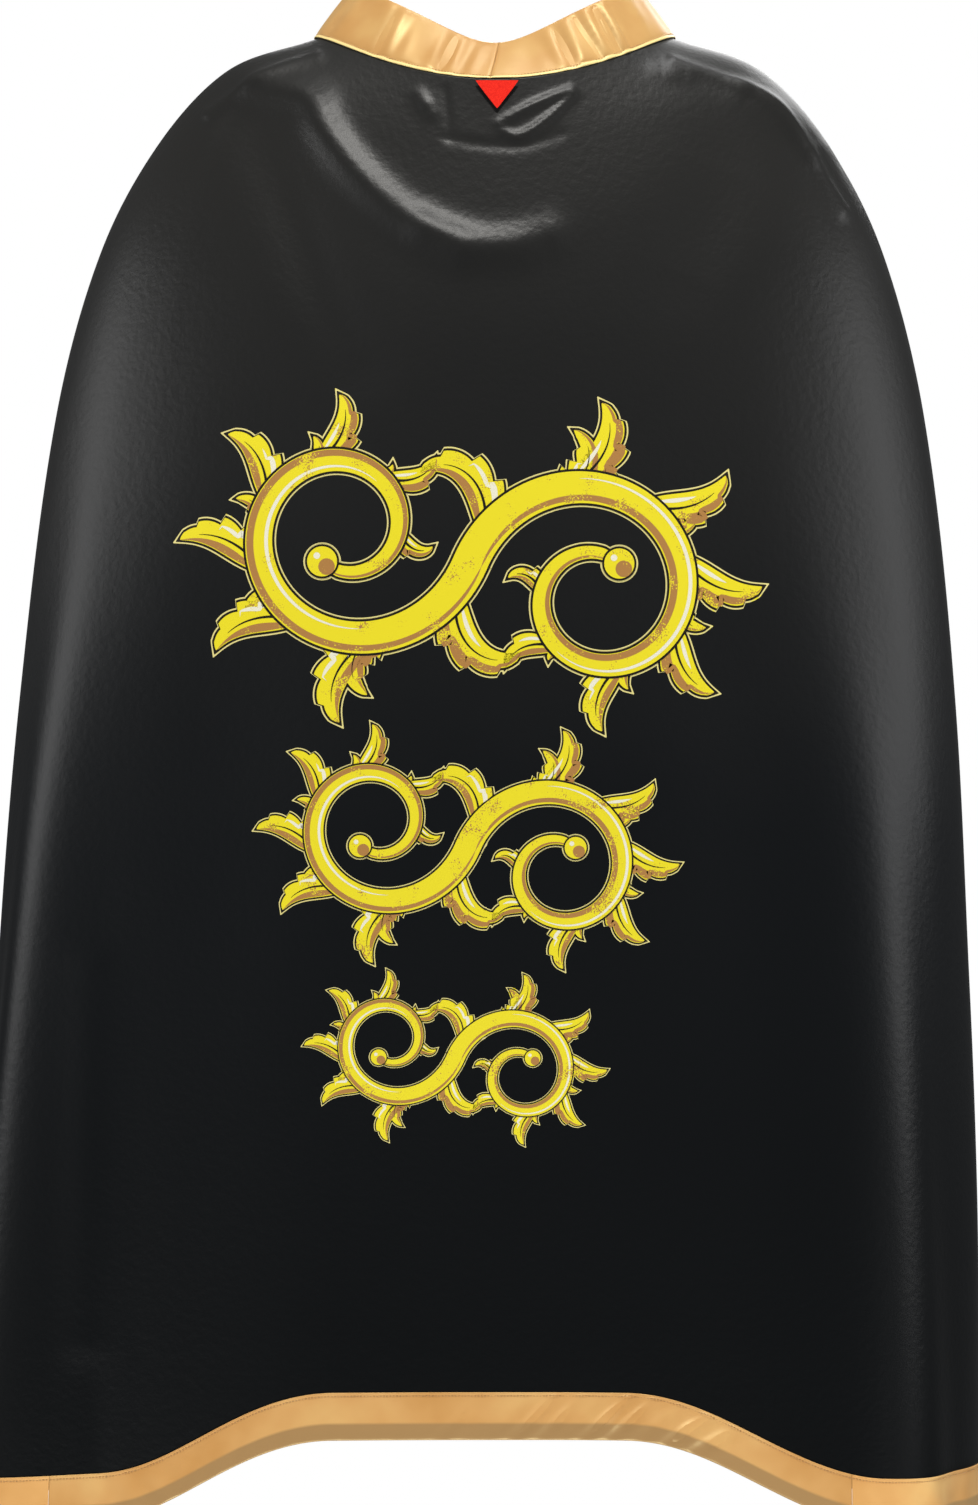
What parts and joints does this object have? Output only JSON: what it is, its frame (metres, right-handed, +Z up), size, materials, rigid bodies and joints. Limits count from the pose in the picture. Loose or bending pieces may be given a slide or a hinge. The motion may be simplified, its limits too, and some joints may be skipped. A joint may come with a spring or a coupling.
{
  "type": "superhero cape",
  "caption": "Adult dress-up cape: satin body, stand collar with hook-and-loop tab, contrasting hem band and scroll prints down the back.",
  "frame": {"origin": "middle of the collar's base, where the wearer's neck passes through", "axes": "+Z up, +Y the way the wearer faces, +X the wearer's right; the printed back faces -Y"},
  "size_m": [0.7714, 0.2658, 1.1594],
  "materials": {
    "body_satin": "smooth polyester satin with a soft sheen",
    "trim_satin": "shiny gold satin",
    "interlining": "stiff matt non-woven",
    "thread": "spun polyester sewing thread",
    "hook_tape": "nylon hooks on a woven tape",
    "loop_tape": "brushed nylon loops",
    "tag": "plain woven tag",
    "print": "thin flexible heat-transfer print"
  },
  "bodies": {
    "cape": {"body_panel": "body_satin", "collar_band_left": "trim_satin", "collar_band_right": "trim_satin", "collar_interlining": "interlining", "collar_stitching": "thread", "loop_patch": "loop_tape", "hem_band_back": "trim_satin", "hem_band_left": "trim_satin", "hem_band_right": "trim_satin", "hem_stitching_back": "thread", "print_large": "print", "print_middle": "print", "print_small": "print"},
    "closure": {"closure_tab": "trim_satin", "hook_patch": "hook_tape"},
    "tag": {"neck_tag": "tag"},
    "left_corner": {"left_corner_flap": "body_satin", "hem_band_left_corner": "trim_satin", "hem_stitching_left": "thread"},
    "right_corner": {"right_corner_flap": "body_satin", "hem_band_right_corner": "trim_satin", "hem_stitching_right": "thread"}
  },
  "joints": [
    {"name": "closure_peel", "type": "hinge", "parent": "cape", "child": "closure", "pos_m": [0.01532, 0.1039, 0.00067], "axis": [0.0534, 0.5994, -0.7986], "range_deg": [0, 150]},
    {"name": "tag_lift", "type": "hinge", "parent": "cape", "child": "tag", "pos_m": [0.00146, -0.11205, -0.00058], "axis": [-1, 0, 0], "range_deg": [0, 110]},
    {"name": "left_corner_fold", "type": "hinge", "parent": "cape", "child": "left_corner", "pos_m": [-0.40672, -0.06653, -1.06855], "axis": [0.059, 0.2401, 0.969], "range_deg": [0, 100]},
    {"name": "right_corner_fold", "type": "hinge", "parent": "cape", "child": "right_corner", "pos_m": [0.37051, -0.07118, -1.06884], "axis": [0.0157, -0.2489, -0.9684], "range_deg": [0, 100]}
  ]
}
